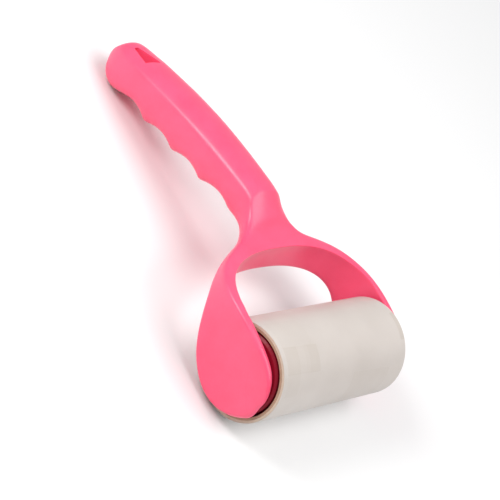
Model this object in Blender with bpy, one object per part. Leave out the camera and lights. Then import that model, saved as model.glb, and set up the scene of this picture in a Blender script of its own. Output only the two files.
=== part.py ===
"""Lint roller: a one-piece handle with a yoke, and a roll of adhesive sheets that turns between its arms.

It lies as it is put down: the roll and the end knob touch the floor at z = 0. The roll's axis runs
along X and the handle runs toward +Y. The origin is on the floor under the middle of the whole object.
"""

import math

import bmesh
import bpy
from mathutils import Matrix, Vector

MM = 0.001

# Roll
ROLL_LENGTH = 100 * MM
ROLL_R = 23.75 * MM
SHEET = 0.25 * MM
WOUND_R = 23.2 * MM
CORE_R = 22.2 * MM
CORE_BORE_R = 21.1 * MM
LAYER_GAP = 0.3 * MM
ROLL_SIDES = 64
CUT_EDGE_DEG = 1.4
CUT_EDGE_AT_DEG = 205

# Handle
HANDLE_END = 181.74 * MM
YOKE_INNER_X = 52.6 * MM
END_PLAY = 1.6 * MM
REST_TILT_DEG = 0.585
STUB_R = 5 * MM
STUB_END_X = 38 * MM
CLEARANCE = 0.3 * MM

# Hub
HUB_FACE_X = 50.6 * MM
HUB_MOUTH_R = 19.9 * MM
HUB_GRIP_R = CORE_BORE_R - CLEARANCE
HUB_STEP_X = 46 * MM
HUB_END_X = 34 * MM
HUB_WALL = 1.6 * MM
HUB_WEB = 2 * MM
HUB_BOSS_R = 8 * MM
HUB_BOSS_END_X = 40 * MM
HUB_RIBS = 6
RIB_THICKNESS = 1.4 * MM

# Placing: the roll's axis in the object's frame
AXIS_Y = -(HANDLE_END - ROLL_R) / 2
AXIS_Z = ROLL_R

PINK = (1.0, 0.13, 0.27, 1)
DARK_PINK = (0.25, 0.004, 0.02, 1)
PAPER = (0.66, 0.61, 0.57, 1)
CREAM = (0.62, 0.5, 0.4, 1)
BROWN = (0.36, 0.22, 0.14, 1)

# Side profile of the grip, as (y, z) from the roll's axis
TOP_LINE = (
    (64, 20.6), (69, 22.8), (74.5, 26.8), (80, 26.8), (93, 25.0), (108, 22.4), (124, 18.8), (140, 14.3),
    (155, 9.2),
    (166, 5.4),
)
BUMP_LINE = ((64, 8.2), (72, 6.8), (80, 4.5), (100, -2.2), (120, -7.9), (141, -14.1), (161, -18.9))
HALF_WIDTH_LINE = (
    (64, 17.4), (69, 14.2), (74.5, 13.0), (80, 13.0), (100, 13.6), (125, 14.2), (150, 14.0), (166, 13.3),
)
NECK_Y = (64, 69, 74.5)

# Finger scallops
FIRST_BUMP = 79.5 * MM
SCALLOP_PITCH = 20.6 * MM
SCALLOPS = 4
SCALLOP_DEPTH = 4.3 * MM
SCALLOP_STEPS = (0, 0.14, 0.5, 0.86)
SCALLOP_REACH = 1.3

# One half of a grip section from its top to its underside, as shares of the half width and the half height
SECTION = ((0, 1), (0.48, 0.93), (0.87, 0.6), (1.0, 0.1), (0.97, -0.4), (0.8, -0.8), (0.42, -0.99), (0, -1))

# End knob, as (y, top, underside, half width)
KNOB = ((165, 5.8, -21.2, 13.2), (171, 3.3, -22.6, 12.4), (177, 1.2, -20.6, 10.6), (182, -2.0, -14.4, 6.8))

# Yoke stations from the middle of the crossbar to the tip of the disc:
# (outer x, outer y, inner x, inner y, top, outer underside, inner underside)
YOKE = (
    (0, 60.0, 0, 50.6, 16.6, 8.6, -1.6),
    (11, 59.9, 9, 50.5, 16.6, 8.6, -1.6),
    (22, 58.2, 18, 49.8, 16.6, 9.0, -1.6),
    (31, 54.4, 28, 48.0, 16.6, 9.0, -1.6),
    (40, 50.2, 37, 44.8, 16.6, 8.6, -1.8),
    (47.8, 44.8, 44, 40.0, 16.8, 7.4, -2.6),
    (53.2, 37.8, 48.6, 34.0, 17.4, 3.4, -4.4),
    (56.2, 30.0, 51.4, 28, 18.4, -4.6, -8.6),
    (57.2, 21, 52.6, 20.4, 19.4, -13.6, -15.2),
    (57.4, 11, 52.6, 11, 19.6, -19.4, -20.2),
    (57.2, 1, 52.6, 1, 19.0, -21.8, -22.0),
    (56.8, -8.5, 52.6, -8.5, 17.2, -19.4, -19.4),
    (56.2, -14.8, 52.6, -14.8, 12.4, -14.0, -14.0),
    (55.4, -19.2, 52.8, -19.2, 5.0, -6.8, -6.8),
)
NECK_STATIONS = 3
EDGE_ROW = 4.2 * MM
LEAN = 2.0 * MM
RIDGE_ROW = 2
RIDGE_CREASE = 0.6
RIM_CREASES = (0.8, 0.8, 0.8, 0.8, 0.75, 0.7, 0.6, 0.45, 0.3, 0.15)
STOP_RING = 2
STOP_CREASE = 0.4
STOP_ARCH = (1.8 * MM, 1.2 * MM)

# Hang hole: a tapered opening through the end knob, as (x, y) corners in millimetres
HOLE_OUTLINE = ((-2.8, 175.0), (-4.9, 175.2), (-7.4, 164.0), (1.0, 162.4))
HOLE_CORNER = 0.6 * MM
HOLE_MIDDLE_Y = 168 * MM
HOLE_DEPTH = 90 * MM


def clear_scene():
    for item in list(bpy.data.objects):
        bpy.data.objects.remove(item, do_unlink=True)


def material(name, colour, roughness, metallic=0.0):
    made = bpy.data.materials.new(name)
    made.use_nodes = True
    shader = made.node_tree.nodes["Principled BSDF"]
    shader.inputs["Base Color"].default_value = colour
    shader.inputs["Roughness"].default_value = roughness
    shader.inputs["Metallic"].default_value = metallic
    return made


def add_object(name, bm, surface, smooth_deg=35):
    bmesh.ops.recalc_face_normals(bm, faces=bm.faces)
    mesh = bpy.data.meshes.new(name)
    bm.to_mesh(mesh)
    bm.free()
    mesh.shade_smooth()
    mesh.set_sharp_from_angle(angle=math.radians(smooth_deg))
    if surface:
        mesh.materials.append(surface)
    made = bpy.data.objects.new(name, mesh)
    bpy.context.scene.collection.objects.link(made)
    return made


def hide_cutter(cutter):
    cutter.hide_render = True
    cutter.display_type = "WIRE"
    return cutter


def boolean(target, cutter, operation):
    step = target.modifiers.new(cutter.name, "BOOLEAN")
    step.operation = operation
    step.solver = "EXACT"
    step.object = cutter


def along(line, y):
    """Height of a smooth line through (y, value) points in millimetres, at y in metres."""
    at = y / MM
    index = max(i for i in range(len(line) - 1) if i == 0 or line[i][0] <= at)
    (y0, v0), (y1, v1) = line[index], line[index + 1]
    before = line[max(index - 1, 0)]
    after = line[min(index + 2, len(line) - 1)]
    slope0 = (v1 - before[1]) / (y1 - before[0])
    slope1 = (after[1] - v0) / (after[0] - y0)
    t = min(max((at - y0) / (y1 - y0), 0), 1)
    span = y1 - y0
    value = (2 * t**3 - 3 * t**2 + 1) * v0 + (t**3 - 2 * t**2 + t) * span * slope0
    value += (3 * t**2 - 2 * t**3) * v1 + (t**3 - t**2) * span * slope1
    return value * MM


def scallop_stations():
    """Every y of the fingered stretch, with the depth of the scallop there."""
    for finger in range(SCALLOPS):
        for share in SCALLOP_STEPS:
            depth = SCALLOP_DEPTH * (1 - (2 * share - 1) ** 2)
            yield FIRST_BUMP + (finger + share) * SCALLOP_PITCH, depth


def grip_ring(bm, y, top, under, half_width, lift=0.0):
    """Half of a grip section; lift raises its underside by the depth of a scallop."""
    middle = (top + under) / 2
    half = (top - under) / 2
    ring = []
    for across, up in SECTION:
        z = middle + half * up
        if up < 0:
            z += lift * min(1, SCALLOP_REACH * abs(up) ** 1.5)
        ring.append(bm.verts.new((half_width * across, y, z)))
    return ring


def grip_rings(bm):
    """Sections from the neck to the end knob; the thumb stop's edge is arched toward the grip."""
    stations = [(y * MM, 0.0) for y in NECK_Y] + list(scallop_stations())
    rings = []
    for y, depth in stations:
        width = along(HALF_WIDTH_LINE, y)
        rings.append(grip_ring(bm, y, along(TOP_LINE, y), along(BUMP_LINE, y), width, depth))
    for vertex, shift in zip(rings[STOP_RING], STOP_ARCH):
        vertex.co.y += shift
    for y, top, under, width in KNOB:
        rings.append(grip_ring(bm, y * MM, top * MM, under * MM, width * MM))
    return rings


def yoke_ring(bm, station, open_back):
    """A section of the yoke: outer side from top to underside, then inner side from underside to top."""
    outer_x, outer_y, inner_x, inner_y, top, outer_under, inner_under = (value * MM for value in station)
    rows = (top, top - EDGE_ROW, outer_under + EDGE_ROW, outer_under)
    inner_rows = (inner_under, inner_under + EDGE_ROW, top - EDGE_ROW, top)
    outer = []
    for row, z in enumerate(rows):
        skipped = open_back and row in (1, 2)
        outer.append(None if skipped else bm.verts.new((outer_x, outer_y, z)))
    inner = [bm.verts.new((inner_x, inner_y - LEAN * (row < 2), z)) for row, z in enumerate(inner_rows)]
    return outer + inner


def skin(bm, first, second, closed):
    """Faces between two rings of the same length; a gap stands for a missing vertex."""
    count = len(first)
    for i in range(count if closed else count - 1):
        j = (i + 1) % count
        corners = (first[i], first[j], second[j], second[i])
        if None not in corners:
            bm.faces.new(corners)


def crease_lines(bm, yoke, rings):
    """Keeps three lines crisp: the grip's ridge, the yoke's inner rim and the edge of the thumb stop."""
    layer = bm.edges.layers.float.new("crease_edge")
    for first, second in zip(rings, rings[1:]):
        bm.edges.get((first[RIDGE_ROW], second[RIDGE_ROW]))[layer] = RIDGE_CREASE
    for first, second, crease in zip(yoke, yoke[1:], RIM_CREASES):
        bm.edges.get((first[-1], second[-1]))[layer] = crease
    stop = rings[STOP_RING]
    for first, second in zip(stop[:RIDGE_ROW], stop[1:]):
        bm.edges.get((first, second))[layer] = STOP_CREASE


def cap_half(bm, ring):
    """Closes a half ring across its own middle."""
    last = len(ring) - 1
    for i in range(last // 2):
        bm.faces.new((ring[i], ring[i + 1], ring[last - i - 1], ring[last - i]))


def handle_cage():
    bm = bmesh.new()
    yoke = [yoke_ring(bm, station, index < NECK_STATIONS - 1) for index, station in enumerate(YOKE)]
    for first, second in zip(yoke, yoke[1:]):
        skin(bm, first, second, True)
    tip = yoke[-1]
    for i in range(3):
        bm.faces.new((tip[i], tip[i + 1], tip[6 - i], tip[7 - i]))
    neck = [ring[0] for ring in yoke[:NECK_STATIONS]]
    neck += yoke[NECK_STATIONS - 1][1:4]
    neck += [ring[3] for ring in reversed(yoke[: NECK_STATIONS - 1])]
    rings = [neck] + grip_rings(bm)
    for first, second in zip(rings, rings[1:]):
        skin(bm, first, second, False)
    cap_half(bm, rings[-1])
    crease_lines(bm, yoke, rings[1:-1])
    return bm


def hole_cutter():
    """Upright wedge-shaped prism with rounded corners through the end knob."""
    bm = bmesh.new()
    low = [bm.verts.new((x * MM, y * MM - HOLE_MIDDLE_Y, -HOLE_DEPTH / 2)) for x, y in HOLE_OUTLINE]
    prism = bmesh.ops.extrude_face_region(bm, geom=[bm.faces.new(low)])
    high = [part for part in prism["geom"] if isinstance(part, bmesh.types.BMVert)]
    bmesh.ops.translate(bm, verts=high, vec=(0, 0, HOLE_DEPTH))
    uprights = [edge for edge in bm.edges if abs(edge.verts[0].co.z - edge.verts[1].co.z) > MM]
    bmesh.ops.bevel(bm, geom=uprights, offset=HOLE_CORNER, segments=4, profile=0.5, affect="EDGES")
    cutter = add_object("hang_hole_cutter", bm, None)
    cutter.location = (0, AXIS_Y + HOLE_MIDDLE_Y, AXIS_Z)
    return hide_cutter(cutter)


def stub_axle(side):
    """Solid journal from inside the disc to its free end, on the roll's axis."""
    bm = bmesh.new()
    length = YOKE_INNER_X + 2 * MM - STUB_END_X
    middle = (YOKE_INNER_X + 2 * MM + STUB_END_X) / 2
    place = Matrix.Translation((side * middle, 0, 0)) @ Matrix.Rotation(math.pi / 2, 4, "Y")
    bmesh.ops.create_cone(
        bm, cap_ends=True, segments=32, radius1=STUB_R, radius2=STUB_R, depth=length, matrix=place
    )
    stub = add_object("stub_axle_left" if side < 0 else "stub_axle_right", bm, None)
    stub.location = (0, AXIS_Y, AXIS_Z)
    return hide_cutter(stub)


def build_handle():
    surface = material("pink_plastic", PINK, 0.3)
    handle = add_object("handle", handle_cage(), surface, 180)
    handle.location = (0, AXIS_Y, AXIS_Z)
    handle.rotation_euler.x = math.radians(-REST_TILT_DEG)
    mirror = handle.modifiers.new("both_halves", "MIRROR")
    mirror.use_clip = True
    mirror.merge_threshold = 0.0001
    subdivide = handle.modifiers.new("smooth", "SUBSURF")
    subdivide.levels = 1
    subdivide.render_levels = 1
    boolean(handle, hole_cutter(), "DIFFERENCE")
    for side in (-1, 1):
        boolean(handle, stub_axle(side), "UNION")
    return handle


def turned(name, profile, surface, angle=2 * math.pi, start=0.0):
    """Body turned about the roll's axis from a closed profile of (x, radius); start is from +Z."""
    bm = bmesh.new()
    sine, cosine = math.sin(start), math.cos(start)
    verts = [bm.verts.new((x, -radius * sine, radius * cosine)) for x, radius in profile]
    face = bm.faces.new(verts)
    whole = angle > 2 * math.pi - 0.001
    if whole:
        edges = list(face.edges)
        bm.faces.remove(face)
        geom = verts + edges
    else:
        geom = [face]
    bmesh.ops.spin(
        bm, geom=geom, cent=(0, 0, 0), axis=(1, 0, 0), angle=angle, steps=ROLL_SIDES, use_merge=whole,
        use_duplicate=False,
    )
    body = add_object(name, bm, surface)
    body.location = (-END_PLAY, AXIS_Y, AXIS_Z)
    return body


def ring_profile(outer, inner):
    end = ROLL_LENGTH / 2
    return ((-end, inner), (-end, outer), (end, outer), (end, inner))


def hub_profile(side):
    """Hub section: rim with a step, web at the outer face, and a boss with its bore."""
    bore = STUB_R + CLEARANCE
    web_back = HUB_FACE_X - HUB_WEB
    points = (
        (HUB_FACE_X, bore),
        (HUB_FACE_X, HUB_MOUTH_R - MM),
        (HUB_FACE_X - MM, HUB_MOUTH_R),
        (HUB_STEP_X, HUB_MOUTH_R),
        (HUB_STEP_X - MM, HUB_GRIP_R),
        (HUB_END_X + MM, HUB_GRIP_R),
        (HUB_END_X, HUB_GRIP_R - MM),
        (HUB_END_X, HUB_MOUTH_R - HUB_WALL),
        (web_back, HUB_MOUTH_R - HUB_WALL),
        (web_back, HUB_BOSS_R),
        (HUB_BOSS_END_X, HUB_BOSS_R),
        (HUB_BOSS_END_X, bore),
    )
    return tuple((side * x, radius) for x, radius in points)


def hub_ribs(side):
    """Radial ribs from the boss to the rim, behind the web."""
    bm = bmesh.new()
    inner = HUB_BOSS_R - 0.5 * MM
    outer = HUB_MOUTH_R - HUB_WALL + 0.5 * MM
    depth = HUB_FACE_X - 0.5 * HUB_WEB - HUB_BOSS_END_X - MM
    centre_x = side * (HUB_FACE_X - 0.5 * HUB_WEB - depth / 2)
    for rib in range(HUB_RIBS):
        turn = Matrix.Rotation(2 * math.pi * rib / HUB_RIBS, 4, "X")
        size = Matrix.Diagonal(Vector((depth, RIB_THICKNESS, outer - inner, 1)))
        place = turn @ Matrix.Translation((centre_x, 0, (inner + outer) / 2)) @ size
        bmesh.ops.create_cube(bm, size=1, matrix=place)
    ribs = add_object("ribs_left" if side < 0 else "ribs_right", bm, None)
    ribs.location = (-END_PLAY, AXIS_Y, AXIS_Z)
    return hide_cutter(ribs)


def build_hubs():
    for side, name in ((-1, "hub_left"), (1, "hub_right")):
        surface = material(name + "_plastic", DARK_PINK, 0.4)
        hub = turned(name, hub_profile(side), surface)
        boolean(hub, hub_ribs(side), "UNION")


def build_roll():
    turned("core_tube", ring_profile(CORE_R, CORE_BORE_R), material("core_card", BROWN, 0.9))
    wound = ring_profile(WOUND_R, CORE_R + LAYER_GAP)
    turned("wound_sheets", wound, material("sheet_edges", CREAM, 0.8))
    outer = ring_profile(ROLL_R, ROLL_R - SHEET)
    cut = math.radians(360 - CUT_EDGE_DEG)
    start = math.radians(CUT_EDGE_AT_DEG)
    turned("outer_sheet", outer, material("sheet_paper", PAPER, 0.6), cut, start)


clear_scene()
build_handle()
build_hubs()
build_roll()
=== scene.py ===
"""Looks of the lint roller: a glossy pink handle and a roll of adhesive paper sheets, on a pale floor."""

import math

import bmesh
import bpy
from mathutils import Matrix, Vector


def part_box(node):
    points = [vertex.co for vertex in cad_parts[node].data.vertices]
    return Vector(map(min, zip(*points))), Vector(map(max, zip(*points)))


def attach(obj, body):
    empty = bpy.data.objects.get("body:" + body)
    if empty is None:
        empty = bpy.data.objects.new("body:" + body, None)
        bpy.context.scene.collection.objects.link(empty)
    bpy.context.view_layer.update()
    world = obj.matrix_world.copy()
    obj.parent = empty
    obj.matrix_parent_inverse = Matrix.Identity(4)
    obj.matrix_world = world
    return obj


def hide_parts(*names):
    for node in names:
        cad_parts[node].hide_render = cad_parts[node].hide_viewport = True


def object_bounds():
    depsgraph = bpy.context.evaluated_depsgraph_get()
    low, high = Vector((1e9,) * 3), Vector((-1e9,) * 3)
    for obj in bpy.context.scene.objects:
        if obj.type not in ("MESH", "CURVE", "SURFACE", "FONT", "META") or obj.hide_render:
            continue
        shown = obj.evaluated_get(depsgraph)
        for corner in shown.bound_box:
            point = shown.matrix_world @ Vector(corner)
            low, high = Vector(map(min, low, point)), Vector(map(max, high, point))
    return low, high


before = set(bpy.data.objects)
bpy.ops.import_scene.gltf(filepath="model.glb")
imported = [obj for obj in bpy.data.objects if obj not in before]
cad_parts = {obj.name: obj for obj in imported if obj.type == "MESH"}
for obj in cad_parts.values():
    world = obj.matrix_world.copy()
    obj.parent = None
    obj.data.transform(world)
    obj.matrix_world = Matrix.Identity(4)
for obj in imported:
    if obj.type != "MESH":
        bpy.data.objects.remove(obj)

CAD_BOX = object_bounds()
MM = 0.001

# The roll and its place, read from the frame
ROLL_LOW, ROLL_HIGH = (Vector(corner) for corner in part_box("outer_sheet"))
AXIS = (ROLL_LOW + ROLL_HIGH) / 2
ROLL_R = (ROLL_HIGH.y - ROLL_LOW.y) / 2
ROLL_HALF = (ROLL_HIGH.x - ROLL_LOW.x) / 2
AXIS_Y = AXIS.y
AXIS_Z = AXIS.z

# Roll layers
CORE_BORE_R = 21.1 * MM
CORE_R = 22.25 * MM
WOUND_R = 23.45 * MM
SHEET = 0.22 * MM
CUT_EDGE_AT_DEG = 205
CUT_EDGE_DEG = 1.4
ROLL_SIDES = 180
LAYER_GAP = 0.02 * MM
LAYER_CHAMFER = 0.1 * MM
SHEET_CHAMFER = 0.08 * MM

# Handle
YOKE_INNER_X = 52.6 * MM
REST_TILT_DEG = 0.585
STUB_R = 5 * MM
STUB_END_X = 38 * MM
STUB_SUNK = 2 * MM
STUB_SIDES = 48
RIDGE_ROW = 2
RIDGE_CREASE = 0.4
RIM_CREASES = (0.8, 0.8, 0.8, 0.8, 0.75, 0.7, 0.6, 0.45, 0.3, 0.15)
STOP_RING = 2
STOP_CREASE = 0.4
STOP_ARCH = (1.8 * MM, 1.2 * MM)
HANDLE_LEVELS = 3
HANDLE_SHARP_DEG = 40
MERGE = 0.1 * MM

# Side profile of the grip, as (y, z) from the roll's axis in millimetres
TOP_LINE = (
    (64, 20.6), (69, 22.8), (74.5, 26.8), (80, 26.8), (93, 25.0), (108, 22.4), (124, 18.8), (140, 14.3),
    (155, 9.2), (166, 5.4),
)
BUMP_LINE = ((64, 8.2), (72, 6.8), (80, 4.5), (100, -2.2), (120, -7.9), (141, -14.1), (161, -18.9))
HALF_WIDTH_LINE = (
    (64, 17.4), (69, 14.2), (74.5, 13.0), (80, 13.0), (100, 13.6), (125, 14.2), (150, 14.0), (166, 13.3),
)
NECK_Y = (64, 69, 74.5)

# Finger scallops
FIRST_BUMP = 79.5 * MM
SCALLOP_PITCH = 20.6 * MM
SCALLOPS = 4
SCALLOP_DEPTH = 4.3 * MM
SCALLOP_STEPS = (0, 0.14, 0.5, 0.86)
SCALLOP_REACH = 1.3

# One half of a grip section from its top to its underside, as shares of the half width and the half height
SECTION = ((0, 1), (0.48, 0.93), (0.87, 0.6), (1.0, 0.1), (0.97, -0.4), (0.8, -0.8), (0.42, -0.99), (0, -1))

# End knob, as (y, top, underside, half width)
KNOB = ((165, 5.8, -21.2, 13.2), (171, 3.3, -22.6, 12.4), (177, 1.2, -20.6, 10.6), (182, -2.0, -14.4, 6.8))

# Yoke stations from the middle of the crossbar to the tip of the disc:
# (outer x, outer y, inner x, inner y, top, outer underside, inner underside)
YOKE = (
    (0, 60.0, 0, 50.6, 16.6, 8.6, -1.6),
    (11, 59.9, 9, 50.5, 16.6, 8.6, -1.6),
    (22, 58.2, 18, 49.8, 16.6, 9.0, -1.6),
    (31, 54.4, 28, 48.0, 16.6, 9.0, -1.6),
    (40, 50.2, 37, 44.8, 16.6, 8.6, -1.8),
    (47.8, 44.8, 44, 40.0, 16.8, 7.4, -2.6),
    (53.2, 37.8, 48.6, 34.0, 17.4, 3.4, -4.4),
    (56.2, 30.0, 51.4, 28, 18.4, -4.6, -8.6),
    (57.2, 21, 52.6, 20.4, 19.4, -13.6, -15.2),
    (57.4, 11, 52.6, 11, 19.6, -19.4, -20.2),
    (57.2, 1, 52.6, 1, 19.0, -21.8, -22.0),
    (56.8, -8.5, 52.6, -8.5, 17.2, -19.4, -19.4),
    (56.2, -14.8, 52.6, -14.8, 12.4, -14.0, -14.0),
    (55.4, -19.2, 52.8, -19.2, 5.0, -6.8, -6.8),
)
NECK_STATIONS = 3
EDGE_ROW = 4.2 * MM
LEAN = 2.0 * MM

# Hang hole, as (x, y) corners in millimetres
HOLE_OUTLINE = ((-2.8, 175.0), (-4.9, 175.2), (-7.4, 164.0), (1.0, 162.4))
HOLE_CORNER = 0.6 * MM
HOLE_MIDDLE_Y = 168 * MM
HOLE_CORNER_STEPS = 6
HOLE_DEPTH = 90 * MM

# Clear tape under the outer sheet, each piece with its start from the roll's left end and its width in
# millimetres, the angle of its upper edge from +Z, the angle it spans, and how much it darkens the paper
TAPE = (
    (3.0, 9.5, -4, 30, 0.22),
    (12.5, 5.5, -4, 30, 0.10),
    (18.0, 3.0, -4, 30, 0.15),
    (21.0, 7.0, -4, 30, 0.22),
    (3.0, 9.5, -34, 26, 0.10),
    (3.0, 23.0, 32, 36, 0.07),
    (57.0, 31.0, -42, 50, 0.10),
    (96.8, 3.4, 22, 34, 0.30),
)
TAPE_SKEW = 0.1
TAPE_SIDE_BLUR = 0.25
TAPE_END_BLUR = 0.8

# Flow line: an arc on the outside of the left disc, as (y, z) of its centre
FLOW_CENTRE = (-0.1135, 0.0527)
FLOW_RADIUS = 38.2 * MM
FLOW_WIDTH = 0.4 * MM
DISC_FROM_X = -50 * MM

# Colours in pairs that a noise blends, linear
PINK = (1.0, 0.094, 0.205, 1), (0.94, 0.076, 0.175, 1)
PINK_BLOOM = (1.0, 0.14, 0.26, 1)
# Deep red of the hubs is painted shade: the handle's pink plastic as it looks in shadow inside the roll's
# core
HUB_RED_PAINTED_SHADE = (0.27, 0.004, 0.02, 1), (0.22, 0.003, 0.015, 1)
CARD = (0.50, 0.33, 0.23, 1), (0.33, 0.20, 0.13, 1)
SHEET_EDGES = (0.66, 0.55, 0.44, 1), (0.50, 0.38, 0.28, 1)
PAPER = (0.60, 0.54, 0.50, 1), (0.56, 0.50, 0.46, 1)
PAPER_FIBRE = (0.68, 0.62, 0.585, 1)
TAPE_TINT = (0.44, 0.37, 0.30, 1)
FLOOR_GREY = (0.86, 0.86, 0.86, 1), (0.83, 0.83, 0.835, 1)

# The range of a noise that most of its values fall in
COMMON = (0.3, 0.7)

# Camera, from the roll's centre: place, and the directions of its right, up and back
CAMERA_PLACE = Vector((-803.69, -196.98, 547.12)) * MM
CAMERA_RIGHT = Vector((0.59398, -0.46143, 0.65899))
CAMERA_UP = Vector((0.08311, 0.84997, 0.52024))
CAMERA_BACK = Vector((-0.80017, -0.25424, 0.54321))
CAMERA_LENS = 152.3
SENSOR = 36
CLIP_START = 0.01

# Lights: shares of the camera's back, up and right that give the direction, then distance, size and power
LIGHTS = {
    "key": ((0.66, 0.68, -0.25), 0.75, 0.32, 3.2),
    "front": ((0.5, 0.25, 0.85), 1.4, 1.3, 17),
}
WORLD_STRENGTH = 0.42
FLOOR_SIZE = 3
FLOOR_GAP = 0.2 * MM


# ---------- small helpers ----------

def along(line, y):
    """Value of a smooth line through (y, value) points in millimetres, at y in metres."""
    at = y / MM
    index = max(i for i in range(len(line) - 1) if i == 0 or line[i][0] <= at)
    (y0, v0), (y1, v1) = line[index], line[index + 1]
    before = line[max(index - 1, 0)]
    after = line[min(index + 2, len(line) - 1)]
    slope0 = (v1 - before[1]) / (y1 - before[0])
    slope1 = (after[1] - v0) / (after[0] - y0)
    t = min(max((at - y0) / (y1 - y0), 0), 1)
    span = y1 - y0
    value = (2 * t**3 - 3 * t**2 + 1) * v0 + (t**3 - 2 * t**2 + t) * span * slope0
    value += (3 * t**2 - 2 * t**3) * v1 + (t**3 - t**2) * span * slope1
    return value * MM


def mesh_object(name, bm, surfaces=(), smooth_deg=35):
    bmesh.ops.recalc_face_normals(bm, faces=bm.faces)
    mesh = bpy.data.meshes.new(name)
    bm.to_mesh(mesh)
    bm.free()
    mesh.shade_smooth()
    mesh.set_sharp_from_angle(angle=math.radians(smooth_deg))
    for surface in surfaces:
        mesh.materials.append(surface)
    made = bpy.data.objects.new(name, mesh)
    bpy.context.scene.collection.objects.link(made)
    return made


def apply_modifiers(piece):
    """Turns a piece's modifiers into plain mesh."""
    bpy.context.view_layer.update()
    graph = bpy.context.evaluated_depsgraph_get()
    mesh = bpy.data.meshes.new_from_object(piece.evaluated_get(graph), depsgraph=graph)
    piece.modifiers.clear()
    piece.data = mesh


# ---------- materials ----------

class Nodes:
    """Short way to add and link shader nodes."""

    def __init__(self, name):
        self.material = bpy.data.materials.new(name)
        self.material.use_nodes = True
        self.tree = self.material.node_tree
        self.shader = self.tree.nodes["Principled BSDF"]

    def add(self, kind, inputs=None, **settings):
        node = self.tree.nodes.new(kind)
        for key, value in settings.items():
            setattr(node, key, value)
        for key, value in (inputs or {}).items():
            if hasattr(value, "is_output"):
                self.tree.links.new(value, node.inputs[key])
            else:
                node.inputs[key].default_value = value
        return node

    def math(self, operation, first, second=0.0):
        return self.add("ShaderNodeMath", {0: first, 1: second}, operation=operation).outputs[0]

    def hypotenuse(self, first, second):
        squares = [self.math("MULTIPLY", side, side) for side in (first, second)]
        return self.math("SQRT", self.math("ADD", *squares))

    def noise(self, vector, scale, detail=4.0, roughness=0.5):
        inputs = {"Vector": vector, "Scale": scale, "Detail": detail, "Roughness": roughness}
        return self.add("ShaderNodeTexNoise", inputs).outputs["Fac"]

    def remap(self, value, low, high, to_low, to_high):
        inputs = {"Value": value, "From Min": low, "From Max": high, "To Min": to_low, "To Max": to_high}
        return self.add("ShaderNodeMapRange", inputs).outputs["Result"]

    def mix(self, share, first, second):
        node = self.add("ShaderNodeMix", data_type="RGBA")
        for socket, value in zip((node.inputs[0], node.inputs[6], node.inputs[7]), (share, first, second)):
            if hasattr(value, "is_output"):
                self.tree.links.new(value, socket)
            else:
                socket.default_value = value
        return node.outputs[2]

    def bump(self, height, strength, distance, normal=None):
        inputs = {"Height": height, "Strength": strength, "Distance": distance}
        if normal is not None:
            inputs["Normal"] = normal
        return self.add("ShaderNodeBump", inputs).outputs["Normal"]

    def link(self, output, socket):
        self.tree.links.new(output, self.shader.inputs[socket])

    def put(self, **values):
        for socket, value in values.items():
            self.shader.inputs[socket.replace("_", " ")].default_value = value


def place_node(nodes):
    return nodes.add("ShaderNodeTexCoord").outputs["Object"]


def split(nodes, vector):
    return nodes.add("ShaderNodeSeparateXYZ", {0: vector}).outputs


def from_axis(nodes, place):
    """X of a point, and its y and z from the roll's axis."""
    x, y, z = split(nodes, place)
    return x, nodes.math("SUBTRACT", y, AXIS_Y), nodes.math("SUBTRACT", z, AXIS_Z)


def pink_plastic():
    """Glossy, slightly translucent moulding with faint flow mottling, fine orange peel and uneven gloss."""
    nodes = Nodes("pink_plastic")
    place = place_node(nodes)
    cloud = nodes.noise(place, scale=60, detail=5)
    fine = nodes.noise(place, scale=900, detail=3)
    tint = nodes.mix(nodes.remap(cloud, *COMMON, 0, 1), *PINK)
    nodes.link(nodes.mix(nodes.remap(fine, *COMMON, 0, 0.12), tint, PINK_BLOOM), "Base Color")
    smear = nodes.noise(place, scale=140, detail=6, roughness=0.6)
    nodes.link(nodes.remap(smear, 0.3, 0.75, 0.3, 0.42), "Roughness")
    peel = nodes.noise(place, scale=420, detail=2)
    normal = nodes.bump(peel, strength=0.10, distance=0.2 * MM)
    normal = nodes.bump(flow_line(nodes, place), strength=0.25, distance=0.3 * MM, normal=normal)
    nodes.link(normal, "Normal")
    nodes.put(Subsurface_Weight=0.2, Subsurface_Scale=0.004, Subsurface_Radius=(1.0, 0.25, 0.3))
    nodes.put(Coat_Weight=0.15, Coat_Roughness=0.3, IOR=1.49)
    return nodes.material


def flow_line(nodes, place):
    """Thin arc on the outside of the left disc, where two flows of plastic met in the mould."""
    x, y, z = split(nodes, place)
    across = nodes.math("SUBTRACT", y, FLOW_CENTRE[0])
    up = nodes.math("SUBTRACT", z, FLOW_CENTRE[1])
    off = nodes.math("ABSOLUTE", nodes.math("SUBTRACT", nodes.hypotenuse(across, up), FLOW_RADIUS))
    line = nodes.remap(off, 0, FLOW_WIDTH, 1, 0)
    return nodes.math("MULTIPLY", line, nodes.math("LESS_THAN", x, DISC_FROM_X))


def hub_plastic():
    """Hub plastic coloured deep red as painted shade, the pink plastic as it looks in shadow; satin, with
    fine grain.
    """
    nodes = Nodes("hub_plastic")
    place = place_node(nodes)
    nodes.link(nodes.mix(nodes.noise(place, scale=90), *HUB_RED_PAINTED_SHADE), "Base Color")
    nodes.link(nodes.remap(nodes.noise(place, scale=200), *COMMON, 0.32, 0.48), "Roughness")
    grain = nodes.noise(place, scale=700, detail=3)
    nodes.link(nodes.bump(grain, strength=0.12, distance=0.2 * MM), "Normal")
    nodes.put(Subsurface_Weight=0.1, Subsurface_Scale=0.002, Subsurface_Radius=(1.0, 0.2, 0.2), IOR=1.3)
    return nodes.material


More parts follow.
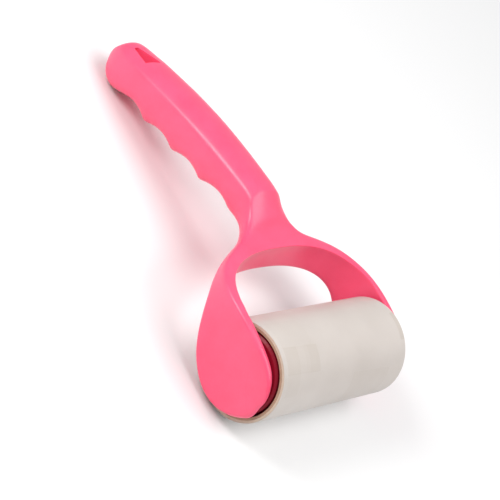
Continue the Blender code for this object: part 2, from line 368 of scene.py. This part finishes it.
def layered_edge(name, light, dark, layer, roughness):
    """Cut end of wound paper: fine rings, one to each layer, with a fibrous tint."""
    nodes = Nodes(name)
    place = place_node(nodes)
    _, y, z = from_axis(nodes, place)
    wobble = nodes.math("MULTIPLY", nodes.noise(place, scale=180, detail=3), 0.4 * MM)
    radius = nodes.math("ADD", nodes.hypotenuse(y, z), wobble)
    wave = nodes.math("SINE", nodes.math("MULTIPLY", radius, 2 * math.pi / layer))
    wave = nodes.remap(wave, -1, 1, 0, 1)
    fibre = nodes.noise(place, scale=500, detail=5, roughness=0.7)
    share = nodes.math("ADD", nodes.math("MULTIPLY", wave, 0.45), nodes.math("MULTIPLY", fibre, 0.55))
    nodes.link(nodes.mix(nodes.remap(share, 0.25, 0.8, 0, 1), light, dark), "Base Color")
    nodes.put(Roughness=roughness, IOR=1.45)
    height = nodes.math("ADD", nodes.math("MULTIPLY", wave, 0.6), fibre)
    nodes.link(nodes.bump(height, strength=0.35, distance=0.3 * MM), "Normal")
    return nodes.material


def band(nodes, value, low, high, edge):
    """1 between low and high, falling to 0 over an edge width."""
    rise = nodes.remap(value, low - edge, low, 0, 1)
    fall = nodes.remap(value, high, high + edge, 1, 0)
    return nodes.math("MULTIPLY", rise, fall)


def tape_patch(nodes, x, angle, start, width, turn, span):
    """1 on one piece of tape and 0 off it, with x in millimetres and angle in degrees."""
    along_roll = band(nodes, x, start, start + width, TAPE_SIDE_BLUR)
    return nodes.math("MULTIPLY", along_roll, band(nodes, angle, turn - span, turn, TAPE_END_BLUR))


def sheet_paper():
    """Off-white coated paper: faint mottling, fine fibres, and clear tape that shows through."""
    nodes = Nodes("sheet_paper")
    place = place_node(nodes)
    x, y, z = from_axis(nodes, place)
    x = nodes.math("DIVIDE", nodes.math("SUBTRACT", x, ROLL_LOW.x), MM)
    angle = nodes.math("MULTIPLY", nodes.math("ARCTAN2", y, z), math.degrees(1))
    skewed = nodes.math("ADD", angle, nodes.math("MULTIPLY", x, TAPE_SKEW))
    colour = nodes.mix(nodes.remap(nodes.noise(place, scale=35), *COMMON, 0, 1), *PAPER)
    height = nodes.math("MULTIPLY", nodes.noise(place, scale=260, detail=5, roughness=0.6), 0.5)
    for *patch_place, depth in TAPE:
        patch = tape_patch(nodes, x, skewed, *patch_place)
        colour = nodes.mix(nodes.math("MULTIPLY", patch, depth), colour, TAPE_TINT)
        height = nodes.math("ADD", height, nodes.math("MULTIPLY", patch, 0.35))
    fibre = nodes.noise(place, scale=1500, roughness=0.7)
    colour = nodes.mix(nodes.remap(fibre, 0.62, 0.75, 0, 0.3), colour, PAPER_FIBRE)
    nodes.link(colour, "Base Color")
    nodes.link(nodes.remap(nodes.noise(place, scale=90, detail=5), *COMMON, 0.42, 0.6), "Roughness")
    nodes.link(nodes.bump(height, strength=0.3, distance=0.3 * MM), "Normal")
    nodes.put(Subsurface_Weight=0.12, Subsurface_Scale=0.002, Subsurface_Radius=(1.0, 0.8, 0.7), IOR=1.5)
    nodes.put(Coat_Weight=0.12, Coat_Roughness=0.3)
    return nodes.material


# ---------- handle ----------

def grip_ring(bm, y, top, under, half_width, lift=0.0):
    """Half of a grip section; lift raises its underside by the depth of a scallop."""
    middle = (top + under) / 2
    half = (top - under) / 2
    ring = []
    for across, up in SECTION:
        z = middle + half * up
        if up < 0:
            z += lift * min(1, SCALLOP_REACH * abs(up) ** 1.5)
        ring.append(bm.verts.new((half_width * across, y, z)))
    return ring


def scallop_stations():
    """Places along the grip with the depth of the scallop there."""
    for finger in range(SCALLOPS):
        for share in SCALLOP_STEPS:
            depth = SCALLOP_DEPTH * (1 - (2 * share - 1) ** 2)
            yield FIRST_BUMP + (finger + share) * SCALLOP_PITCH, depth


def grip_rings(bm):
    """Sections from the neck to the end knob, with the thumb stop's edge arched."""
    stations = [(y * MM, 0.0) for y in NECK_Y] + list(scallop_stations())
    rings = []
    for y, depth in stations:
        width = along(HALF_WIDTH_LINE, y)
        rings.append(grip_ring(bm, y, along(TOP_LINE, y), along(BUMP_LINE, y), width, depth))
    for vertex, shift in zip(rings[STOP_RING], STOP_ARCH):
        vertex.co.y += shift
    for y, top, under, width in KNOB:
        rings.append(grip_ring(bm, y * MM, top * MM, under * MM, width * MM))
    return rings


def yoke_ring(bm, station, open_back):
    """A section of the yoke: outer side from top to underside, then inner side from underside to top."""
    outer_x, outer_y, inner_x, inner_y, top, outer_under, inner_under = (value * MM for value in station)
    rows = (top, top - EDGE_ROW, outer_under + EDGE_ROW, outer_under)
    inner_rows = (inner_under, inner_under + EDGE_ROW, top - EDGE_ROW, top)
    outer = []
    for row, z in enumerate(rows):
        skipped = open_back and row in (1, 2)
        outer.append(None if skipped else bm.verts.new((outer_x, outer_y, z)))
    inner = [bm.verts.new((inner_x, inner_y - LEAN * (row < 2), z)) for row, z in enumerate(inner_rows)]
    return outer + inner


def skin(bm, first, second, closed):
    """Faces between two rings of the same length; a gap stands for a missing vertex."""
    count = len(first)
    for i in range(count if closed else count - 1):
        j = (i + 1) % count
        corners = (first[i], first[j], second[j], second[i])
        if None not in corners:
            bm.faces.new(corners)


def handle_cage():
    """Half of the handle as a coarse cage, open on its middle plane."""
    bm = bmesh.new()
    yoke = [yoke_ring(bm, station, index < NECK_STATIONS - 1) for index, station in enumerate(YOKE)]
    for first, second in zip(yoke, yoke[1:]):
        skin(bm, first, second, True)
    tip = yoke[-1]
    for i in range(3):
        bm.faces.new((tip[i], tip[i + 1], tip[6 - i], tip[7 - i]))
    neck = [ring[0] for ring in yoke[:NECK_STATIONS]]
    neck += yoke[NECK_STATIONS - 1][1:4]
    neck += [ring[3] for ring in reversed(yoke[: NECK_STATIONS - 1])]
    rings = [neck] + grip_rings(bm)
    for first, second in zip(rings, rings[1:]):
        skin(bm, first, second, False)
    end = rings[-1]
    for i in range((len(end) - 1) // 2):
        bm.faces.new((end[i], end[i + 1], end[len(end) - i - 2], end[len(end) - i - 1]))
    crease_lines(bm, yoke, rings[1:-1], rings[2:-1])
    return bm


def crease_lines(bm, yoke, grip, next_grip):
    """Keeps the grip's ridge, the yoke's inner rim and the edge of the thumb stop crisp."""
    layer = bm.edges.layers.float.new("crease_edge")
    for first, second in zip(grip, next_grip):
        bm.edges.get((first[RIDGE_ROW], second[RIDGE_ROW]))[layer] = RIDGE_CREASE
    for first, second, crease in zip(yoke, yoke[1:], RIM_CREASES):
        bm.edges.get((first[-1], second[-1]))[layer] = crease
    stop = grip[STOP_RING]
    for first, second in zip(stop[:RIDGE_ROW], stop[1:]):
        bm.edges.get((first, second))[layer] = STOP_CREASE


def boolean(target, cutter, operation):
    step = target.modifiers.new(cutter.name, "BOOLEAN")
    step.operation = operation
    step.solver = "EXACT"
    step.object = cutter


def hole_cutter():
    """Upright wedge-shaped prism with rounded corners."""
    bm = bmesh.new()
    low = [bm.verts.new((x * MM, y * MM - HOLE_MIDDLE_Y, -HOLE_DEPTH / 2)) for x, y in HOLE_OUTLINE]
    prism = bmesh.ops.extrude_face_region(bm, geom=[bm.faces.new(low)])
    high = [part for part in prism["geom"] if isinstance(part, bmesh.types.BMVert)]
    bmesh.ops.translate(bm, verts=high, vec=(0, 0, HOLE_DEPTH))
    uprights = [edge for edge in bm.edges if abs(edge.verts[0].co.z - edge.verts[1].co.z) > MM]
    rounding = {"offset": HOLE_CORNER, "segments": HOLE_CORNER_STEPS, "profile": 0.5, "affect": "EDGES"}
    bmesh.ops.bevel(bm, geom=uprights, **rounding)
    cutter = mesh_object("hole_cutter", bm)
    cutter.location = (0, AXIS_Y + HOLE_MIDDLE_Y, AXIS_Z)
    return cutter


def stub_axle(side):
    """Axle on the inside of a disc, sunk a little into it."""
    bm = bmesh.new()
    root_x = YOKE_INNER_X + STUB_SUNK
    length = root_x - STUB_END_X
    middle = (root_x + STUB_END_X) / 2
    place = Matrix.Translation((side * middle, 0, 0)) @ Matrix.Rotation(math.pi / 2, 4, "Y")
    ends = {"radius1": STUB_R, "radius2": STUB_R, "depth": length}
    bmesh.ops.create_cone(bm, cap_ends=True, segments=STUB_SIDES, matrix=place, **ends)
    stub = mesh_object("stub", bm)
    stub.location = (0, AXIS_Y, AXIS_Z)
    return stub


def build_handle(surface):
    handle = mesh_object("handle_moulding", handle_cage(), [surface], 180)
    handle.location = (0, AXIS_Y, AXIS_Z)
    handle.rotation_euler.x = math.radians(-REST_TILT_DEG)
    mirror = handle.modifiers.new("both_halves", "MIRROR")
    mirror.use_clip = True
    mirror.merge_threshold = MERGE
    subdivide = handle.modifiers.new("smooth", "SUBSURF")
    subdivide.levels = HANDLE_LEVELS
    subdivide.render_levels = HANDLE_LEVELS
    tools = [(hole_cutter(), "DIFFERENCE"), (stub_axle(-1), "UNION"), (stub_axle(1), "UNION")]
    for tool, operation in tools:
        boolean(handle, tool, operation)
    apply_modifiers(handle)
    for tool, _ in tools:
        bpy.data.objects.remove(tool, do_unlink=True)
    handle.data.transform(handle.matrix_world)
    handle.matrix_world = Matrix.Identity(4)
    handle.data.materials.clear()
    handle.data.materials.append(surface)
    handle.data.set_sharp_from_angle(angle=math.radians(HANDLE_SHARP_DEG))
    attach(handle, "handle")
    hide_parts("handle")


# ---------- roll ----------

def turned(name, profile, surface, angle=2 * math.pi, start=0.0):
    """Body turned about the roll's axis from a closed profile of (x, radius) points; start is from +Z."""
    bm = bmesh.new()
    sine, cosine = math.sin(start), math.cos(start)
    verts = [bm.verts.new((AXIS.x + x, AXIS_Y - r * sine, AXIS_Z + r * cosine)) for x, r in profile]
    face = bm.faces.new(verts)
    whole = angle > 2 * math.pi - 0.001
    geom = [face]
    if whole:
        geom = verts + list(face.edges)
        bm.faces.remove(face)
    bmesh.ops.spin(
        bm, geom=geom, cent=AXIS, axis=(1, 0, 0), angle=angle, steps=ROLL_SIDES, use_merge=whole,
        use_duplicate=False,
    )
    return mesh_object(name, bm, [surface])


def ring_profile(outer, inner, chamfer):
    """Closed profile of a tube as long as the roll, with its two outer edges taken off."""
    half = ROLL_HALF
    return (
        (-half, inner), (-half, outer - chamfer), (-half + chamfer, outer), (half - chamfer, outer),
        (half, outer - chamfer), (half, inner),
    )


def build_roll():
    core = turned(
        "paper_core", ring_profile(CORE_R, CORE_BORE_R, LAYER_CHAMFER),
        layered_edge("core_card", *CARD, layer=0.6 * MM, roughness=0.9),
    )
    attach(core, "roll")
    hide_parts("core_tube")
    wound = turned(
        "sheet_stack", ring_profile(WOUND_R, CORE_R + LAYER_GAP, LAYER_CHAMFER),
        layered_edge("sheet_edges", *SHEET_EDGES, layer=0.3 * MM, roughness=0.8),
    )
    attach(wound, "roll")
    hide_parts("wound_sheets")
    sheet = turned(
        "top_sheet", ring_profile(ROLL_R, ROLL_R - SHEET, SHEET_CHAMFER), sheet_paper(),
        angle=math.radians(360 - CUT_EDGE_DEG), start=math.radians(CUT_EDGE_AT_DEG),
    )
    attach(sheet, "roll")
    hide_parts("outer_sheet")


def paint_hubs():
    # The hubs take the deep red painted shade that stands in for pink plastic in shadow
    surface = hub_plastic()
    for name in ("hub_left", "hub_right"):
        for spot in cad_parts[name].material_slots:
            spot.material = surface


# ---------- stage ----------

def floor_material():
    nodes = Nodes("floor")
    place = place_node(nodes)
    nodes.link(nodes.mix(nodes.noise(place, scale=4, detail=3), *FLOOR_GREY), "Base Color")
    nodes.put(Roughness=0.9)
    return nodes.material


def build_stage():
    bm = bmesh.new()
    bmesh.ops.create_grid(bm, x_segments=2, y_segments=2, size=FLOOR_SIZE)
    floor = mesh_object("floor", bm, [floor_material()])
    floor.location.z = CAD_BOX[0][2] - FLOOR_GAP
    world = bpy.data.worlds.new("studio")
    world.use_nodes = True
    background = world.node_tree.nodes["Background"].inputs
    background["Color"].default_value = (1, 1, 1, 1)
    background["Strength"].default_value = WORLD_STRENGTH
    bpy.context.scene.world = world


def soft_light(name, direction, distance, size, power):
    """Square light at a distance from the object, along a direction, facing it."""
    lamp = bpy.data.lights.new(name, "AREA")
    lamp.size = size
    lamp.energy = power
    made = bpy.data.objects.new(name, lamp)
    bpy.context.scene.collection.objects.link(made)
    aim = Vector(direction).normalized()
    made.location = AXIS + aim * distance
    made.rotation_euler = aim.to_track_quat("Z", "Y").to_euler()


def build_lights():
    for name, ((back, up, right), distance, size, power) in LIGHTS.items():
        direction = back * CAMERA_BACK + up * CAMERA_UP + right * CAMERA_RIGHT
        soft_light(name, direction, distance, size, power)


def build_camera():
    data = bpy.data.cameras.new("camera")
    data.lens = CAMERA_LENS
    data.sensor_width = SENSOR
    data.clip_start = CLIP_START
    made = bpy.data.objects.new("camera", data)
    bpy.context.scene.collection.objects.link(made)
    turn = Matrix((CAMERA_RIGHT, CAMERA_UP, CAMERA_BACK)).transposed().to_4x4()
    tilt = Matrix.Rotation(math.radians(-REST_TILT_DEG), 4, "X")
    made.matrix_world = Matrix.Translation(AXIS) @ tilt @ Matrix.Translation(CAMERA_PLACE) @ turn
    bpy.context.scene.camera = made


build_handle(pink_plastic())
build_roll()
paint_hubs()
build_stage()
build_lights()
build_camera()
bpy.context.scene.view_settings.view_transform = "Standard"
